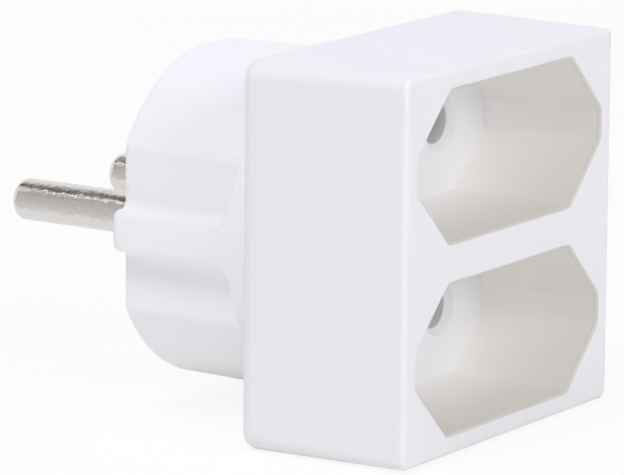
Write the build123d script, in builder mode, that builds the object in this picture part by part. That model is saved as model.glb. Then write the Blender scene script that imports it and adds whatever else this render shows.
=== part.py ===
from build123d import *
import os

# Double socket adapter: a square block with two flat two-pin sockets, on a round two-pin wall plug.
# Millimetres. The origin is the middle of the plug face, between the pins. +Y runs out of the plug face
# along the pins, so the sockets face -Y. +X is to the right for someone who looks at the sockets, +Z is up.

# Wall plug: two round pins on a round body
pin_diameter = 4.8
pin_length = 19.3
pin_spacing = 19.0
pin_tip_round = 1.2
plug_diameter = 38.8
plug_length = 19.6
plug_draft = 1.0
plug_wall = 1.8
end_wall = 2.4
collar_length = 3.5
collar_step = 0.1
rim_round = 1.0

# Guide nose on each side of the plug, with a flat pocket above and below it, and flats for the earth clips
nose_height = 5.3
nose_edge_round = 1.0
nose_root_round = 0.6
pocket_depth = 2.4
pocket_edge_round = 2.0
pocket_corner_round = 2.5
web_sunk = 0.05
clip_flat_depth = 0.25
clip_flat_edge_round = 3.0

# Sockets: two hexagonal wells, one above the other
well_width = 38.8
well_height = 16.7
well_end_height = 3.5
well_depth = 15.2
well_draft = 1.0
well_corner_round = 0.7
well_end_round = 2.0
well_wall = 1.8
mouth_chamfer = 0.35
rib_between_wells = 4.7

# Block around the wells and taller than the plug, a little larger at the back so that it leaves its mould
side_wall = 2.3
top_wall = 2.35
plug_margin = 1.9
front_wall = 1.8
rim_wall = 1.8
flare_sideways = 0.8
flare_upwards = 0.35
front_corner_round = 1.0
back_corner_round = 2.2
front_edge_round = 0.6
back_edge_round = 1.5
rebate_corner_round = 1.2

# Floor of the wells, and the plate of the plug that closes the block behind it
cover_thickness = 3.2
flange_thickness = 2.6
socket_hole_diameter = 5.0
lead_in_width = 0.8

# Pins inside the plug: a shank in the end wall, a flange behind it and a riveted tail
shank_diameter = 5.4
flange_diameter = 7.2
pin_flange = 1.0
tail_diameter = 3.0
tail_head_diameter = 4.0
tail_head_height = 1.0
tail_head_round = 0.8

# Contacts: a strip along each pair of sockets, with a rolled spring sleeve behind each hole
strip_thickness = 0.8
sleeve_bore = 4.0
sleeve_sheet = 0.5
sleeve_slit = 0.8
sleeve_flare = 0.25
foot_length = 4.9
foot_width = 4.0
rivet_diameter = 2.0
rivet_head_diameter = 3.2
rivet_head_height = 0.7
rivet_head_round = 0.5

# Screw that closes the adapter, in a deep recess between the pins
screw_diameter = 2.6
screw_length = 19.0
screw_point = 1.6
screw_head_diameter = 5.4
screw_head_height = 2.0
screw_recess_depth = 14.0
screw_recess_diameter = 6.4
screw_head_round = 0.8
cross_length = 3.4
cross_width = 0.8
cross_depth = 1.0
boss_wall = 1.5
barrier = 1.4

# Clearances on each side, and how near two corners lie to be the same
touching = 0.001
seat_clearance = 0.1
cover_clearance = 0.3
pin_clearance = 0.05
contact_clearance = 0.2
screw_clearance = 0.3

# Distances along Y from the plug face, from the pins to the sockets
strip_back = -end_wall
strip_front = strip_back - strip_thickness
block_back = -plug_length
cover_back = block_back - flange_thickness
well_floor = cover_back - cover_thickness
block_front = well_floor - well_depth
screw_seat = -screw_recess_depth
foot_front = strip_front - sleeve_sheet

# Sizes that follow from those above
plug_radius = plug_diameter / 2
pin_x = pin_spacing / 2
well_flat = well_width - well_height + well_end_height
well_z = (well_height + rib_between_wells) / 2
wells_height = 2 * well_height + rib_between_wells
block_width = well_width + 2 * side_wall
block_height = max(wells_height + 2 * top_wall, plug_diameter + 2 * plug_margin)
back_width = block_width + 2 * flare_sideways
back_height = block_height + 2 * flare_upwards
rebate_width = back_width - 2 * rim_wall
rebate_height = back_height - 2 * rim_wall
pocket_x = plug_radius - pocket_depth
clip_flat_z = plug_radius - clip_flat_depth
pocket_length = plug_length - collar_length
sleeve_radius = sleeve_bore / 2 + sleeve_sheet
strip_width = 2 * sleeve_radius + 2 * contact_clearance
web_round = pocket_corner_round + nose_edge_round
web_y = web_round - pocket_length
web_z = pocket_corner_round + nose_height / 2
sleeve_length = strip_front - cover_back - contact_clearance
rivet_z = well_z - sleeve_radius - foot_length / 2
screw_bite = screw_length - (screw_seat - well_floor)


def across(y):
    """Plane across the adapter at a distance y from the plug face, with X to the right and Z up."""
    return Plane.XZ.offset(-y)


def well_outline(grown=0):
    """Outline of a well: flat above and below, slanting in at 45 degrees to a short end on each side."""
    with BuildSketch() as outline:
        with BuildLine():
            Polyline(
                (well_flat / 2, well_height / 2),
                (well_width / 2, well_end_height / 2),
                (well_width / 2, -well_end_height / 2),
                (well_flat / 2, -well_height / 2),
                (-well_flat / 2, -well_height / 2),
                (-well_width / 2, -well_end_height / 2),
                (-well_width / 2, well_end_height / 2),
                (-well_flat / 2, well_height / 2),
                close=True,
            )
        make_face()
        across_wells = outline.vertices().group_by(Axis.X)
        fillet(across_wells[0] + across_wells[-1], well_end_round)
        up_wells = outline.vertices().group_by(Axis.Y)
        fillet(up_wells[0] + up_wells[-1], well_corner_round)
        if grown:
            offset(amount=grown)
    return outline.sketch


def plug_outline():
    """Outline of the plug beyond its collar: a nose between pockets on each side, flats above and below."""
    with BuildSketch() as outline:
        Circle(plug_radius)
        with GridLocations(plug_diameter, nose_height + plug_radius, 2, 2):
            Rectangle(2 * pocket_depth, plug_radius, mode=Mode.SUBTRACT)
        with GridLocations(0, plug_diameter, 1, 2):
            Rectangle(plug_diameter, 2 * clip_flat_depth, mode=Mode.SUBTRACT)
        sideways = outline.vertices().group_by(Axis.X)
        fillet(sideways[0] + sideways[-1], nose_edge_round)
        upwards = outline.vertices().group_by(Axis.Y)
        fillet(upwards[0] + upwards[-1], clip_flat_edge_round)
        for near_nose, radius in ((True, nose_root_round), (False, pocket_edge_round)):
            corners = outline.vertices().filter_by(lambda corner: abs(abs(corner.X) - pocket_x) < touching)
            fillet(corners.filter_by(lambda corner: (abs(corner.Y) < nose_height) == near_nose), radius)
    return outline.sketch


def closing_plate(clearance):
    """Outline of a piece that closes the block from behind, inside its rebate."""
    with BuildSketch() as outline:
        RectangleRounded(rebate_width - 2 * clearance, rebate_height - 2 * clearance, rebate_corner_round)
    return outline.sketch


finished = {}

# Front housing: the block, its two wells, and cores in the corners that the wells leave
with BuildPart() as front_housing:
    with BuildSketch(across(block_front)):
        RectangleRounded(block_width, block_height, front_corner_round)
    with BuildSketch(across(block_back)):
        RectangleRounded(back_width, back_height, back_corner_round)
    loft()
    fillet(front_housing.faces().sort_by(Axis.Y)[0].edges(), front_edge_round)
    fillet(front_housing.faces().sort_by(Axis.Y)[-1].edges(), back_edge_round)
    with BuildSketch(across(block_back)):
        RectangleRounded(rebate_width, rebate_height, rebate_corner_round)
    extrude(amount=block_back - well_floor, mode=Mode.SUBTRACT)
    with BuildSketch(across(well_floor)):
        Rectangle(well_width, wells_height)
        with GridLocations(0, 2 * well_z, 1, 2):
            add(well_outline(well_wall), mode=Mode.SUBTRACT)
        Rectangle(well_flat + 2 * well_wall, rib_between_wells, mode=Mode.SUBTRACT)
    extrude(amount=well_depth - front_wall, mode=Mode.SUBTRACT)
    with BuildSketch(across(block_front)):
        with GridLocations(0, 2 * well_z, 1, 2):
            add(well_outline())
    extrude(amount=-well_depth, taper=well_draft, mode=Mode.SUBTRACT)
    front_face = front_housing.faces().sort_by(Axis.Y)[0]
    chamfer([edge for wire in front_face.inner_wires() for edge in wire.edges()], mouth_chamfer)
    with BuildSketch(across(well_floor)):
        Circle(screw_diameter / 2 + pin_clearance)
    extrude(amount=screw_bite + screw_clearance, mode=Mode.SUBTRACT)
finished["front_housing"] = front_housing.part

# Contact cover: the floor of both wells, with a funnel at the mouth of each pin hole
with BuildPart() as contact_cover:
    with BuildSketch(across(cover_back)):
        add(closing_plate(cover_clearance))
        Circle(screw_diameter / 2 + screw_clearance, mode=Mode.SUBTRACT)
    extrude(amount=cover_thickness)
    with Locations(across(well_floor)):
        with GridLocations(pin_spacing, 2 * well_z, 2, 2):
            CounterSinkHole(
                socket_hole_diameter / 2,
                socket_hole_diameter / 2 + lead_in_width,
                counter_sink_angle=90,
            )
finished["contact_cover"] = contact_cover.part

# Webs that round the corners of the pockets between nose and collar, just under the skin of the nose
with BuildPart() as corner_webs:
    with BuildSketch(across(-pocket_length - collar_length / 2)):
        Circle(plug_radius - web_sunk)
        Rectangle(2 * pocket_x - plug_wall, plug_diameter, mode=Mode.SUBTRACT)
    extrude(amount=-web_round - collar_length / 2, taper=plug_draft)
    with BuildSketch(Plane.YZ):
        with Locations((web_y - plug_length / 2, 0)):
            Rectangle(plug_length, 2 * web_z)
        with GridLocations(0, 2 * web_z, 1, 2):
            with Locations((web_y, 0)):
                Circle(web_round, mode=Mode.SUBTRACT)
    extrude(amount=plug_radius, both=True, mode=Mode.INTERSECT)

# Rear housing: the hollow plug body on the plate that closes the block
with BuildPart() as rear_housing:
    # Plug body beyond the collar
    with BuildSketch(across(-pocket_length)):
        add(plug_outline())
    extrude(amount=-pocket_length, taper=plug_draft)
    fillet(rear_housing.faces().sort_by(Axis.Y)[-1].edges(), rim_round)
    add(corner_webs.part)
    # Collar and closing plate
    with BuildSketch(across(-pocket_length)):
        Circle(plug_radius + collar_step)
    extrude(amount=collar_length)
    with BuildSketch(across(block_back)):
        add(closing_plate(seat_clearance))
    extrude(amount=flange_thickness)
    # Hollow, with a chamber round each row of contacts
    with BuildSketch(across(cover_back)):
        Circle(plug_radius - plug_wall)
        Rectangle(2 * (pocket_x - plug_wall), 2 * (clip_flat_z - plug_wall), mode=Mode.INTERSECT)
        with GridLocations(pin_spacing, 0, 2, 1):
            SlotCenterToCenter(2 * well_z, strip_width + 2 * contact_clearance, rotation=90)
    extrude(amount=cover_back - strip_back, mode=Mode.SUBTRACT)
    # Screw boss, and the barrier between the two poles
    with BuildSketch(across(strip_back)):
        Circle(screw_recess_diameter / 2 + boss_wall)
        Rectangle(barrier, plug_diameter - 2 * plug_wall)
    extrude(amount=strip_back - cover_back)
    with Locations(Plane.XZ.rotated((180, 0, 0))):
        CounterBoreHole(
            screw_diameter / 2 + screw_clearance,
            screw_recess_diameter / 2,
            screw_recess_depth,
        )
    with Locations(across(strip_back)):
        with GridLocations(pin_spacing, 0, 2, 1):
            CounterBoreHole(
                shank_diameter / 2 + pin_clearance,
                flange_diameter / 2 + pin_clearance,
                pin_flange,
            )
finished["rear_housing"] = rear_housing.part

sides = {"left": -pin_x, "right": pin_x}
levels = {"upper": 1, "lower": -1}

# Pins: turned in one piece, each headed over its contact strip
for side, x in sides.items():
    with BuildPart() as pin:
        with BuildSketch() as half:
            with BuildLine():
                Polyline(
                    (x, strip_front - tail_head_height),
                    (x + tail_head_diameter / 2, strip_front - tail_head_height),
                    (x + tail_head_diameter / 2, strip_front),
                    (x + tail_diameter / 2, strip_front),
                    (x + tail_diameter / 2, strip_back),
                    (x + flange_diameter / 2, strip_back),
                    (x + flange_diameter / 2, strip_back + pin_flange),
                    (x + shank_diameter / 2, strip_back + pin_flange),
                    (x + shank_diameter / 2, 0),
                    (x + pin_diameter / 2, 0),
                    (x + pin_diameter / 2, pin_length),
                    (x, pin_length),
                    close=True,
                )
            make_face()
            fillet(half.vertices().group_by(Axis.Y)[-1].sort_by(Axis.X)[-1], pin_tip_round)
            fillet(half.vertices().group_by(Axis.Y)[0].sort_by(Axis.X)[-1], tail_head_round)
        revolve(axis=Axis((x, 0, 0), (0, 1, 0)))
    finished[f"{side}_pin"] = pin.part

# Contact strips: flat stampings that join the two sockets of a pole to its pin
for side, x in sides.items():
    with BuildPart() as strip:
        with BuildSketch(across(strip_back)):
            with Locations((x, 0)):
                SlotCenterToCenter(2 * well_z, strip_width, rotation=90)
                Circle(tail_diameter / 2 + pin_clearance, mode=Mode.SUBTRACT)
                with GridLocations(0, 2 * rivet_z, 1, 2):
                    Circle(rivet_diameter / 2 + pin_clearance, mode=Mode.SUBTRACT)
        extrude(amount=strip_thickness)
    finished[f"{side}_contact_strip"] = strip.part

# Contact sleeves: rolled from sheet with a slit, flared at the mouth, on a foot riveted to the strip
for level, up in levels.items():
    for side, x in sides.items():
        with BuildPart() as sleeve:
            with BuildSketch(across(strip_front)):
                with Locations((x, up * well_z)):
                    Circle(sleeve_radius)
                    Circle(sleeve_bore / 2, mode=Mode.SUBTRACT)
                    with Locations((0, up * sleeve_radius)):
                        Rectangle(sleeve_slit, sleeve_radius, mode=Mode.SUBTRACT)
            extrude(amount=sleeve_length)
            mouth = sleeve.faces().sort_by(Axis.Y)[0].edges().filter_by(GeomType.CIRCLE)
            chamfer(mouth.sort_by(SortBy.RADIUS)[0], sleeve_flare)
            with BuildSketch(across(strip_front)):
                with Locations((x, up * (rivet_z + sleeve_sheet / 4))):
                    Rectangle(foot_width, foot_length + sleeve_sheet / 2)
                with Locations((x, up * rivet_z)):
                    Circle(rivet_diameter / 2 + pin_clearance, mode=Mode.SUBTRACT)
            extrude(amount=sleeve_sheet)
        finished[f"{level}_{side}_contact_sleeve"] = sleeve.part

# Rivets: a shank through foot and strip, with a low round head on the foot
with BuildPart() as contact_rivets:
    with BuildSketch(across(strip_back)):
        with GridLocations(pin_spacing, 2 * rivet_z, 2, 2):
            Circle(rivet_diameter / 2)
    extrude(amount=strip_thickness + sleeve_sheet)
    with BuildSketch(across(foot_front)):
        with GridLocations(pin_spacing, 2 * rivet_z, 2, 2):
            Circle(rivet_head_diameter / 2)
    extrude(amount=rivet_head_height)
    fillet(contact_rivets.edges().group_by(Axis.Y)[0], rivet_head_round)
finished["contact_rivets"] = contact_rivets.part

# Closing screw: pan head with a cross recess, plain shank with a point
with BuildPart() as closing_screw:
    with BuildSketch() as half:
        with BuildLine():
            Polyline(
                (0, screw_seat + screw_head_height),
                (screw_head_diameter / 2, screw_seat + screw_head_height),
                (screw_head_diameter / 2, screw_seat),
                (screw_diameter / 2, screw_seat),
                (screw_diameter / 2, screw_seat - screw_length + screw_point),
                (0, screw_seat - screw_length),
                close=True,
            )
        make_face()
        fillet(half.vertices().group_by(Axis.Y)[-1].sort_by(Axis.X)[-1], screw_head_round)
    revolve(axis=Axis.Y)
    with BuildSketch(across(screw_seat + screw_head_height)):
        Rectangle(cross_length, cross_width)
        Rectangle(cross_width, cross_length)
    extrude(amount=cross_depth, mode=Mode.SUBTRACT)
finished["closing_screw"] = closing_screw.part

os.makedirs("parts", exist_ok=True)
for name, piece in finished.items():
    piece.label = name
    export_step(piece, f"parts/{name}.step")
    print(name, round(piece.volume), "mm3")
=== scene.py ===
# %% [markdown]
# # A double socket adapter, dressed for the camera
# The adapter is a square white block with two flat sockets, on a round wall plug with two metal
# pins. Its exact shapes come from the CAD frame, one object for each real piece, and stay as they
# are. Blender's share is what the eye reads as material: moulded plastic, plated pins, brass behind
# the holes, and the light that shows them.

# %% Load the frame
import math

import bmesh
import bpy
from mathutils import Euler, Matrix, Vector


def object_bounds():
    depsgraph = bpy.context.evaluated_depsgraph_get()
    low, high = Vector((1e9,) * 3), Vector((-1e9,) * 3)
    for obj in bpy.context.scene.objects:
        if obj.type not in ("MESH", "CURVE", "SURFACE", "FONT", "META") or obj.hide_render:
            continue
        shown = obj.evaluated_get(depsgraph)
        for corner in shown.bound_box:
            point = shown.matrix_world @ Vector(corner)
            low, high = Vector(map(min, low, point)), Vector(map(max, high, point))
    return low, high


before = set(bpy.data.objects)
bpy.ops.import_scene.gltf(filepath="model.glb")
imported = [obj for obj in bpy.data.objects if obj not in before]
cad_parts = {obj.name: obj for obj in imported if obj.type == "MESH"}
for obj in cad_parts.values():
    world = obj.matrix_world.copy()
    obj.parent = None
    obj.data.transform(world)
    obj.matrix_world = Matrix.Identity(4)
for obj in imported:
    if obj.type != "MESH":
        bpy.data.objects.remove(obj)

cad_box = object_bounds()
print("CAD box in m:", [[round(value, 5) for value in corner] for corner in cad_box])

# %% [markdown]
# ## Millimetres and colours
# Object coordinates are in metres, while a maker thinks in millimetres. Shader colours are linear,
# while a colour picked from paint or plastic is an sRGB hex value. Two short functions turn the one
# into the other, so every size and colour further down can be written the way a person would say
# it. The Standard view then shows those colours as they were picked, where a filmic view would grey
# the whites.

# %% Units and colours
MM = 0.001


def linear(hex_code):
    """An sRGB hex value such as F2F1F4 as a linear RGBA colour, by the curve of the standard."""
    channels = [int(hex_code[place:place + 2], 16) / 255 for place in (0, 2, 4)]
    return [c / 12.92 if c <= 0.04045 else ((c + 0.055) / 1.055) ** 2.4 for c in channels] + [1.0]


def repeats(size_mm):
    """Texture scale on Object coordinates at which one feature is about size_mm across."""
    return 1 / (size_mm * MM)


bpy.context.scene.view_settings.view_transform = "Standard"
print("a feature of 1 mm has a texture scale of", round(repeats(1)))

# %% [markdown]
# ## The camera
# The photograph was taken from the left, a little above, with a long lens: opposite edges of the
# block stay almost parallel. The view direction, the roll and the distance were fitted to the
# corners of the block and the pins. An Euler turn aims the camera at the horizon first, and a turn
# about its own axis adds the roll.

# %% Camera
VIEW_AZIMUTH = math.radians(-56.82)
VIEW_HEIGHT = math.radians(11.6)
VIEW_ROLL = math.radians(0.43)
EYE = Vector((-481.9, -329.52, 115.93)) * MM
SENSOR_MM = 36.0
LENS_MM = 300.0
NEAREST = 10 * MM

camera = bpy.data.objects.new("camera", bpy.data.cameras.new("camera"))
camera.data.sensor_width = SENSOR_MM
camera.data.lens = LENS_MM
camera.data.clip_start = NEAREST
camera.location = EYE
aim = Euler((math.pi / 2 - VIEW_HEIGHT, 0, VIEW_AZIMUTH)).to_matrix()
camera.rotation_euler = (aim @ Euler((0, 0, VIEW_ROLL)).to_matrix()).to_euler()
bpy.context.scene.collection.objects.link(camera)
bpy.context.scene.camera = camera
print("camera", round(EYE.length / MM), "mm from the plug's face")

# %% [markdown]
# ## Nodes by one small helper
# A material is a graph of nodes. One function adds a node, sets its options and fills its sockets:
# a socket gets a plain value, or the output of another node. With it a material reads from top to
# bottom like a recipe.

# %% Node helper


def add_node(tree, kind, sockets, **options):
    """Add a node. sockets maps an input's name or number to a value, or to an output that feeds it."""
    made = tree.nodes.new(kind)
    for option, value in options.items():
        setattr(made, option, value)
    for socket, value in sockets.items():
        if isinstance(value, bpy.types.NodeSocket):
            tree.links.new(value, made.inputs[socket])
        else:
            made.inputs[socket].default_value = value
    return made


def new_material(name):
    """A new material, its node tree, its shader, and the Object coordinates for its patterns."""
    material = bpy.data.materials.new(name)
    material.use_nodes = True
    tree = material.node_tree
    place = add_node(tree, "ShaderNodeTexCoord", {}).outputs["Object"]
    return material, tree, tree.nodes["Principled BSDF"], place


print("a node helper and a material starter")

# %% [markdown]
# ## Painted shade on the walls of the wells
# In the photograph the walls of the wells are warmer than the skin of the block, though both are one
# moulding. Here that warmth is painted shade: the walls are painted warmer and darker near the mouth
# and near white towards the floor, to cancel the shade that deepens inside the wells, and the rim is
# painted a darker grey, a painted shade line along the mouth. The wells lie within the block's
# outline, between its face and their floor. A mask on the object's own coordinates picks them out,
# so no second mesh is needed, and a colour ramp along the depth paints them.

# %% Painted shade on the walls of the wells
CORE_HALF = 20.0 * MM
CORE_EDGE_Y = -40.57 * MM
CORE_FADE = 0.1 * MM
CORE_FLOOR_Y = -25.4 * MM
RIM_WIDTH = 0.4 * MM
RIM_SHARE = RIM_WIDTH / (CORE_FLOOR_Y - CORE_EDGE_Y)
RIM_BLEND = 0.25  # the rim's tone turns into the mouth's over this share of its width, each way


def paint_shade_on_walls(tree, place, skin, rim, mouth, deep):
    """The skin's colour, replaced on the wells' walls by a ramp of painted shade from rim to floor."""
    where = add_node(tree, "ShaderNodeSeparateXYZ", {0: place})
    along = where.outputs["Y"]
    across = add_node(tree, "ShaderNodeMath", {0: where.outputs["X"]}, operation="ABSOLUTE").outputs[0]
    upward = add_node(tree, "ShaderNodeMath", {0: where.outputs["Z"]}, operation="ABSOLUTE").outputs[0]
    outermost = add_node(
        tree, "ShaderNodeMath", {0: across, 1: upward}, operation="MAXIMUM",
    ).outputs[0]
    inside = add_node(
        tree, "ShaderNodeMath", {0: outermost, 1: CORE_HALF}, operation="LESS_THAN",
    ).outputs[0]
    past_rim = add_node(
        tree, "ShaderNodeMapRange",
        {
            "Value": along, "From Min": CORE_EDGE_Y, "From Max": CORE_EDGE_Y + CORE_FADE,
            "To Max": inside,
        },
    ).outputs[0]
    above_floor = add_node(
        tree, "ShaderNodeMath", {0: along, 1: CORE_FLOOR_Y + CORE_FADE}, operation="LESS_THAN",
    ).outputs[0]
    core = add_node(
        tree, "ShaderNodeMath", {0: past_rim, 1: above_floor}, operation="MULTIPLY",
    ).outputs[0]
    depth = add_node(
        tree, "ShaderNodeMapRange",
        {"Value": along, "From Min": CORE_EDGE_Y, "From Max": CORE_FLOOR_Y},
    ).outputs[0]
    # The ramp is painted light and shade: a grey rim, a darker warm mouth, near white in the depth.
    painted_wall_ramp = add_node(tree, "ShaderNodeValToRGB", {0: depth})
    stops = painted_wall_ramp.color_ramp.elements
    stops[0].color = linear(rim)
    stops[1].color = linear(deep)
    stops.new((1 - RIM_BLEND) * RIM_SHARE).color = linear(rim)
    stops.new((1 + RIM_BLEND) * RIM_SHARE).color = linear(mouth)
    return add_node(
        tree, "ShaderNodeMix", {"Factor": core, "A": skin, "B": painted_wall_ramp.outputs["Color"]},
        data_type="RGBA",
    ).outputs["Result"]


print("wells from", round(CORE_EDGE_Y / MM, 2), "to", round(CORE_FLOOR_Y / MM, 2), "mm")

# %% [markdown]
# ## White moulded plastic
# The housings are pressed from a hard white plastic in a steel mould with a fine eroded grain. To
# the eye that is a satin skin: the grain scatters the highlight, the colour is faintly cloudy, and
# handling leaves a few duller scuffs. The plug is painted a shade whiter than the block: painted
# light that lifts it out of the shade the block throws on it. The cover at the bottom of the wells is
# a tougher, more matt plastic. One recipe serves all three.

# %% White plastic
PLASTIC_IOR = 1.5
CLOUD_MM = 9.0
GRAIN_MM = 0.35  # real mould grain is near 0.05 mm; drawn coarser, or it would vanish at this distance
GRAIN_DEPTH = 0.02 * MM
GRAIN_STRENGTH = 0.12
SCUFF_MM = 2.5
SCUFF_START, SCUFF_FULL = 0.45, 0.75  # values of the noise at which a scuff starts and is full
SCUFF_DULLING = 0.14


def white_plastic(name, fresh, cloudy, dullness, painted_wall_tones=None):
    """Satin white plastic; if it has wells, painted shade on their rim, mouth and depth."""
    material, tree, shader, place = new_material(name)
    cloud = add_node(
        tree, "ShaderNodeTexNoise", {"Vector": place, "Scale": repeats(CLOUD_MM), "Detail": 3.0},
    )
    colour = add_node(
        tree, "ShaderNodeMix",
        {"Factor": cloud.outputs["Fac"], "A": linear(fresh), "B": linear(cloudy)},
        data_type="RGBA",
    ).outputs["Result"]
    if painted_wall_tones:
        colour = paint_shade_on_walls(tree, place, colour, *painted_wall_tones)
    grain = add_node(
        tree, "ShaderNodeTexNoise", {"Vector": place, "Scale": repeats(GRAIN_MM), "Detail": 2.0},
    )
    scuff = add_node(
        tree, "ShaderNodeTexNoise", {"Vector": place, "Scale": repeats(SCUFF_MM), "Detail": 6.0},
    )
    dull = add_node(
        tree, "ShaderNodeMapRange",
        {
            "Value": scuff.outputs["Fac"], "From Min": SCUFF_START, "From Max": SCUFF_FULL,
            "To Min": dullness, "To Max": dullness + SCUFF_DULLING,
        },
    )
    relief = add_node(
        tree, "ShaderNodeBump",
        {"Height": grain.outputs["Fac"], "Strength": GRAIN_STRENGTH, "Distance": GRAIN_DEPTH},
    )
    tree.links.new(colour, shader.inputs["Base Color"])
    tree.links.new(dull.outputs["Result"], shader.inputs["Roughness"])
    tree.links.new(relief.outputs["Normal"], shader.inputs["Normal"])
    shader.inputs["IOR"].default_value = PLASTIC_IOR
    return material


# Hard pressed urea: a cool, satin white with broad soft highlights, and painted shade in the wells.
block_plastic = white_plastic(
    "moulded_white_urea", fresh="F4F3F7", cloudy="F1F0F4", dullness=0.42,
    # rim, mouth and depth of the wells: painted shade near the mouth, painted light deep inside
    painted_wall_tones=("D8D4CD", "F1EEE8", "FFFDFA"),
)
# The plug's urea: the same soft sheen, painted whiter as painted light against the block's shade.
plug_plastic = white_plastic(
    "urea_painted_whiter", fresh="FCFBFE", cloudy="F9F8FB", dullness=0.42,
)
# Polyamide for the cover: more matt, so the bottom of a well stays even.
cover_plastic = white_plastic(
    "moulded_white_polyamide", fresh="F9F9FD", cloudy="F7F7FB", dullness=0.5,
)
print("white plastics:", block_plastic.name, plug_plastic.name, cover_plastic.name)

# %% [markdown]
# ## Nickel on turned brass
# The pins are turned from brass rod and nickel plated. The lathe leaves fine rings round them, every
# wall socket they went into has drawn scratches along them, and the plating has small pits and dents
# that break a highlight up into sparks. Rings and scratches run at right angles, so they are two
# patterns: a wave along the pin, and a noise that is stretched along the pin by the mapping's scale.
# The dents are a third pattern, in a bump of its own below the other two.

# %% Nickelled pins
TARNISH_MM = 4.0
RING_MM = 0.7  # real turning marks are near 0.1 mm apart; drawn coarser, so that they show
RING_WOBBLE = 0.6
RING_SHARE = 0.8  # height of the rings next to the scratches
WAVE_TURNS = 20 / math.tau  # a wave texture makes this many waves in one unit at a scale of 1
SCRATCH_MM = 0.35  # real scratches are hair-thin; drawn coarser, so that they show
SCRATCH_STRETCH = 14.0
SCRATCH_START, SCRATCH_FULL = 0.35, 0.7  # values of the noise between which the polish wears off
POLISHED, WORN = 0.15, 0.32
MARK_DEPTH = 0.02 * MM
MARK_STRENGTH = 0.25
DENT_MM = 0.7
DENT_DEPTH = 0.1 * MM


def nickelled_brass():
    """Bright plate with turning rings, scratches along the pin, and dents."""
    material, tree, shader, place = new_material("nickel_plated_brass")
    shader.inputs["Metallic"].default_value = 1.0
    tarnish = add_node(
        tree, "ShaderNodeTexNoise", {"Vector": place, "Scale": repeats(TARNISH_MM), "Detail": 4.0},
    )
    colour = add_node(
        tree, "ShaderNodeMix",
        {"Factor": tarnish.outputs["Fac"], "A": linear("E2E0DF"), "B": linear("D4D0CD")},
        data_type="RGBA",
    )
    rings = add_node(
        tree, "ShaderNodeTexWave",
        {
            "Vector": place, "Scale": repeats(RING_MM) / WAVE_TURNS,
            "Distortion": RING_WOBBLE, "Detail": 1.0,
        },
        bands_direction="Y",
    )
    along = add_node(
        tree, "ShaderNodeMapping", {"Vector": place, "Scale": (1, 1 / SCRATCH_STRETCH, 1)},
    )
    scratch = add_node(
        tree, "ShaderNodeTexNoise",
        {"Vector": along.outputs[0], "Scale": repeats(SCRATCH_MM), "Detail": 3.0},
    )
    worn = add_node(
        tree, "ShaderNodeMapRange",
        {
            "Value": scratch.outputs["Fac"], "From Min": SCRATCH_START, "From Max": SCRATCH_FULL,
            "To Min": POLISHED, "To Max": WORN,
        },
    )
    marks = add_node(
        tree, "ShaderNodeMath",
        {0: rings.outputs["Fac"], 1: RING_SHARE, 2: scratch.outputs["Fac"]},
        operation="MULTIPLY_ADD",
    )
    dent = add_node(
        tree, "ShaderNodeTexNoise", {"Vector": place, "Scale": repeats(DENT_MM), "Detail": 1.0},
    )
    hollows = add_node(
        tree, "ShaderNodeBump",
        {"Height": dent.outputs["Fac"], "Strength": 1.0, "Distance": DENT_DEPTH},
    )
    relief = add_node(
        tree, "ShaderNodeBump",
        {
            "Height": marks.outputs[0], "Strength": MARK_STRENGTH, "Distance": MARK_DEPTH,
            "Normal": hollows.outputs["Normal"],
        },
    )
    tree.links.new(colour.outputs["Result"], shader.inputs["Base Color"])
    tree.links.new(worn.outputs["Result"], shader.inputs["Roughness"])
    tree.links.new(relief.outputs["Normal"], shader.inputs["Normal"])
    return material


# Nickel plate: a faintly warm mirror with a satin wear, which gives long streaks and small sparks.
pin_metal = nickelled_brass()
print("pins:", pin_metal.name)

# %% [markdown]
# ## Sheet brass and a plated screw
# Behind the pin holes sit rolled brass contacts, and a zinc plated screw lies deep between the pins.
# Both are seen only through small openings. Sheet that went through rollers has streaks one way, and
# zinc plate is cloudy, so one recipe with a stretch serves both: a long stretch gives the streaks,
# and none gives the clouds.

# %% Contact brass and screw steel
SMOOTHER, ROUGHER = 0.08, 0.12  # how far the roughness goes below and above its middle
STREAK_DEPTH = 0.02 * MM
STREAK_STRENGTH = 0.2


def worked_metal(name, bright, dull, feature_mm, stretch, roughness):
    """Bare or plated metal, streaked or cloudy in colour, polish and relief."""
    material, tree, shader, place = new_material(name)
    shader.inputs["Metallic"].default_value = 1.0
    along = add_node(tree, "ShaderNodeMapping", {"Vector": place, "Scale": (1, 1 / stretch, 1)})
    streak = add_node(
        tree, "ShaderNodeTexNoise",
        {"Vector": along.outputs[0], "Scale": repeats(feature_mm), "Detail": 4.0},
    )
    colour = add_node(
        tree, "ShaderNodeMix",
        {"Factor": streak.outputs["Fac"], "A": linear(bright), "B": linear(dull)},
        data_type="RGBA",
    )
    worn = add_node(
        tree, "ShaderNodeMapRange",
        {
            "Value": streak.outputs["Fac"],
            "To Min": roughness - SMOOTHER, "To Max": roughness + ROUGHER,
        },
    )
    relief = add_node(
        tree, "ShaderNodeBump",
        {"Height": streak.outputs["Fac"], "Strength": STREAK_STRENGTH, "Distance": STREAK_DEPTH},
    )
    tree.links.new(colour.outputs["Result"], shader.inputs["Base Color"])
    tree.links.new(worn.outputs["Result"], shader.inputs["Roughness"])
    tree.links.new(relief.outputs["Normal"], shader.inputs["Normal"])
    return material


# Rolled brass: a yellow glint with fine streaks in the shade of the holes.
contact_brass = worked_metal(
    "rolled_sheet_brass", bright="D9B777", dull="B98F4E", feature_mm=0.4, stretch=10.0, roughness=0.32,
)
# Zinc plate: a cool, cloudy grey that doesn't shine out of its recess.
screw_steel = worked_metal(
    "zinc_plated_steel", bright="C8CBCF", dull="A3A7AD", feature_mm=1.2, stretch=1.0, roughness=0.38,
)
print("inner metals:", contact_brass.name, screw_steel.name)

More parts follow.
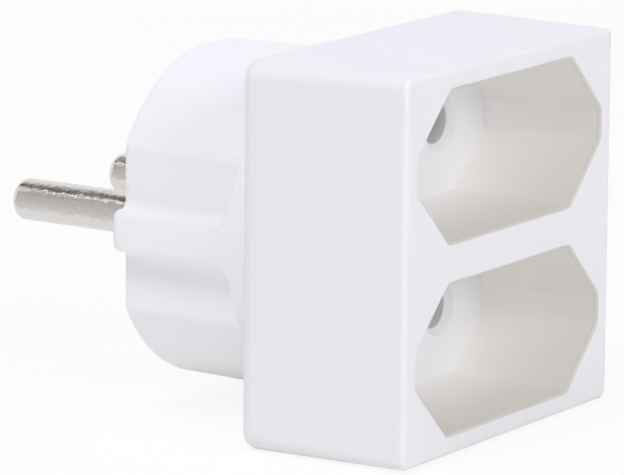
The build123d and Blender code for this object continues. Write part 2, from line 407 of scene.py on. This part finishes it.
# %% [markdown]
# ## Each piece gets its finish
# The frame's objects arrive with a plain colour in their one material slot. Their meshes must stay
# untouched, so only that slot changes hands. The strips, sleeves and rivets that aren't listed are
# all brass.

# %% Assign the finishes
FINISHES = {
    "front_housing": block_plastic,
    "rear_housing": plug_plastic,
    "contact_cover": cover_plastic,
    "left_pin": pin_metal,
    "right_pin": pin_metal,
    "closing_screw": screw_steel,
}
for name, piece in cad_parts.items():
    piece.material_slots[0].material = FINISHES.get(name, contact_brass)
    print(name, "->", piece.material_slots[0].material.name)

# %% [markdown]
# ## White paper that keeps its shadow
# The photograph is a white cut-out with even light. The floor's paper must look white to the camera
# and in reflections, but may not throw more light on the object for it. Light Path tells these rays
# apart: camera, glossy and transmission rays see mostly plain white, and all others see the real
# brightness. The rest of what the camera sees is the true shading, so the object's soft shadow
# stays on the floor.

# %% White paper
SHADOW_SHARE = 0.12


def seen_directly(tree):
    """1 for rays that show a surface, to the camera or in a reflection, and 0 for rays that light."""
    ray = add_node(tree, "ShaderNodeLightPath", {})
    direct = add_node(
        tree, "ShaderNodeMath", {0: ray.outputs["Is Camera Ray"], 1: ray.outputs["Is Glossy Ray"]},
        operation="ADD",
    )
    return add_node(
        tree, "ShaderNodeMath", {0: direct.outputs[0], 1: ray.outputs["Is Transmission Ray"]},
        operation="ADD", use_clamp=True,
    ).outputs[0]


# Matt paper: a clean ground that still takes a soft shadow.
paper = bpy.data.materials.new("white_paper")
paper.use_nodes = True
tree = paper.node_tree
tree.nodes.clear()
share = add_node(
    tree, "ShaderNodeMath", {0: seen_directly(tree), 1: 1 - SHADOW_SHARE}, operation="MULTIPLY",
)
matt = add_node(tree, "ShaderNodeBsdfDiffuse", {"Color": linear("F8F8F5")})
glow = add_node(tree, "ShaderNodeEmission", {"Color": linear("FFFFFF"), "Strength": 1.0})
mixed = add_node(
    tree, "ShaderNodeMixShader", {0: share.outputs[0], 1: matt.outputs[0], 2: glow.outputs[0]},
)
add_node(tree, "ShaderNodeOutputMaterial", {"Surface": mixed.outputs[0]})
print("paper with", SHADOW_SHARE, "of its true shading")

# %% [markdown]
# ## The floor
# The adapter stands on a plain sheet. One grid of a single face makes it, wide enough that its edge
# doesn't show, and a hair below the object's lowest point, so the two never share a plane.

# %% Floor
FLOOR_HALF = 3.0
FLOOR_GAP = 0.02 * MM
FLOOR_Z = cad_box[0].z - FLOOR_GAP

shape = bmesh.new()
bmesh.ops.create_grid(
    shape, x_segments=1, y_segments=1, size=FLOOR_HALF, matrix=Matrix.Translation((0, 0, FLOOR_Z)),
)
floor = bpy.data.objects.new("floor", bpy.data.meshes.new("floor"))
shape.to_mesh(floor.data)
shape.free()
floor.data.materials.append(paper)
bpy.context.scene.collection.objects.link(floor)
print("floor at", round(FLOOR_Z / MM, 2), "mm")

# %% [markdown]
# ## An even world
# Light from all round gives the photograph much of its evenness. The world is split by the same rays
# as the floor: plain white where it is seen, and a third as bright where it lights.

# %% World
WORLD_LIGHT = 0.36

world = bpy.data.worlds.new("even_studio")
world.use_nodes = True
bpy.context.scene.world = world
tree = world.node_tree
tree.nodes.clear()
lit = add_node(tree, "ShaderNodeBackground", {"Color": linear("FFFFFF"), "Strength": WORLD_LIGHT})
white = add_node(tree, "ShaderNodeBackground", {"Color": linear("FFFFFF"), "Strength": 1.0})
mixed = add_node(
    tree, "ShaderNodeMixShader", {0: seen_directly(tree), 1: lit.outputs[0], 2: white.outputs[0]},
)
add_node(tree, "ShaderNodeOutputWorld", {"Surface": mixed.outputs[0]})
print("world strength", WORLD_LIGHT)

# %% [markdown]
# ## Softboxes
# Five large lamps model the object. A weak one beside the camera fills what the camera sees. One in
# front and above lights the sockets' face and reaches into the wells. One high on the left drops the
# soft shadow under the guide nose. One overhead, set back and slightly bluer, sets the top face off
# from the sides and leaves its front edge without a bright line. One behind, faintly warm, keeps the
# back white for other views. All are aimed at the middle of the object and hidden from the camera.
# They are also hidden from reflections, which the bent card in the next steps takes care of.

# %% Softboxes
MIDDLE = (cad_box[0] + cad_box[1]) / 2
LAMP_DISTANCE = 0.9


def softbox(name, direction, size, watts, colour):
    """A square lamp of size metres, in the given direction from the middle of the object."""
    lamp = bpy.data.objects.new(name, bpy.data.lights.new(name, "AREA"))
    lamp.data.shape = "SQUARE"
    lamp.data.size = size
    lamp.data.energy = watts
    lamp.data.color = linear(colour)[:3]
    lamp.location = MIDDLE + Vector(direction).normalized() * LAMP_DISTANCE
    lamp.rotation_euler = Vector(direction).to_track_quat("Z", "Y").to_euler()
    lamp.visible_camera = False
    lamp.visible_glossy = False
    bpy.context.scene.collection.objects.link(lamp)
    print(name, watts, "W at", LAMP_DISTANCE, "m")


softbox("camera_softbox", (-0.83, -0.53, 0.22), size=0.4, watts=0.45, colour="FFFEFD")
softbox("front_softbox", (-0.18, -0.86, 0.46), size=0.4, watts=2.65, colour="FBFBFF")
softbox("left_softbox", (-0.49, 0.03, 0.87), size=0.24, watts=2.6, colour="FFFFFF")
softbox("overhead_softbox", (0.1, 0.4, 0.9), size=0.6, watts=1.35, colour="CECEFF")
softbox("back_softbox", (0.6, 0.77, 0.2), size=0.5, watts=1.6, colour="FFFEF4")

# %% [markdown]
# ## Tones for the metal to mirror
# Polished metal shows its surroundings, and in an all-white room a nickel pin looks like white
# plastic. So a photographer bends a large toned card over it. A level pin mirrors the card as
# streaks: a pale foot, a warm grey, one bright strip, a dark band and white again. The tone depends
# only on the angle round the pins, so it can be given as a short list of angles in degrees, tones
# and strengths, which a colour ramp looks up.

# %% Toned card
CARD_START = math.radians(-50)
CARD_END = math.radians(130)
CARD_TONES = (
    (-50, "FFFFFF", 1.0), (-20, "E3E1DF", 1.0), (0, "DCD8D5", 1.0), (25, "D3CDC9", 1.0),
    (55, "BDB6B1", 1.0), (60, "C4BEBA", 1.0), (62, "FFFFFF", 1.9), (68, "FFFFFF", 1.9),
    (71, "635D58", 1.0), (86, "706A65", 1.0), (105, "BEBAB6", 1.0), (125, "FFFFFF", 1.0),
)

# Matt card: soft streaks for the pins to mirror.
toned_card = bpy.data.materials.new("toned_card")
toned_card.use_nodes = True
tree = toned_card.node_tree
tree.nodes.clear()
place = add_node(tree, "ShaderNodeTexCoord", {}).outputs["Object"]
where = add_node(tree, "ShaderNodeSeparateXYZ", {0: place})
leftward = add_node(tree, "ShaderNodeMath", {0: where.outputs["X"], 1: -1.0}, operation="MULTIPLY")
turn = add_node(
    tree, "ShaderNodeMath", {0: where.outputs["Z"], 1: leftward.outputs[0]}, operation="ARCTAN2",
)
share = add_node(
    tree, "ShaderNodeMapRange",
    {"Value": turn.outputs[0], "From Min": CARD_START, "From Max": CARD_END},
)
tones = add_node(tree, "ShaderNodeValToRGB", {0: share.outputs[0]})
stops = tones.color_ramp.elements
stops.remove(stops[1])
stops[0].color = linear(CARD_TONES[0][1])
for degrees, tone, strength in CARD_TONES[1:]:
    stop = stops.new((math.radians(degrees) - CARD_START) / (CARD_END - CARD_START))
    stop.color = [strength * channel for channel in linear(tone)]
glow = add_node(tree, "ShaderNodeEmission", {"Color": tones.outputs["Color"], "Strength": 1.0})
add_node(tree, "ShaderNodeOutputMaterial", {"Surface": glow.outputs[0]})
print("toned card:", len(CARD_TONES), "tones")

# %% [markdown]
# ## The card is bent over the pins
# The card starts on the floor beside the pins, runs out to the left, stands up and ends past the
# top. One edge is enough to draw it: extruding the edge makes the flat foot, and spinning the far
# edge round the pins' direction makes the bend. Only reflections see the card: it is hidden from the
# camera, throws no light on the plastic and casts no shadow.

# %% Bent card
CARD_RADIUS = 0.5
CARD_HALF_LENGTH = 0.75
CARD_FOOT_X = -30 * MM
CARD_LIFT = 0.5 * MM
CARD_STEPS = 40

shape = bmesh.new()
foot_z = FLOOR_Z + CARD_LIFT
bend = math.asin(foot_z / CARD_RADIUS)
reach = CARD_FOOT_X + CARD_RADIUS * math.cos(bend)
foot = [shape.verts.new((CARD_FOOT_X, end * CARD_HALF_LENGTH, foot_z)) for end in (-1, 1)]
flat = bmesh.ops.extrude_edge_only(shape, edges=[shape.edges.new(foot)])["geom"]
far_verts = [part for part in flat if isinstance(part, bmesh.types.BMVert)]
far_edge = [part for part in flat if isinstance(part, bmesh.types.BMEdge)]
bmesh.ops.translate(shape, verts=far_verts, vec=(-reach, 0, 0))
bmesh.ops.spin(
    shape, geom=far_verts + far_edge, cent=(0, 0, 0), axis=(0, 1, 0), dvec=(0, 0, 0),
    angle=CARD_END - bend, steps=CARD_STEPS,
)
card = bpy.data.objects.new("bent_card", bpy.data.meshes.new("bent_card"))
shape.to_mesh(card.data)
shape.free()
card.data.materials.append(toned_card)
bpy.context.scene.collection.objects.link(card)
card.visible_camera = False
card.visible_diffuse = False
card.visible_shadow = False
card.visible_transmission = False
top = max(vert.co.z for vert in card.data.vertices)
print("bent card:", len(card.data.polygons), "faces, top at", round(top, 2), "m")
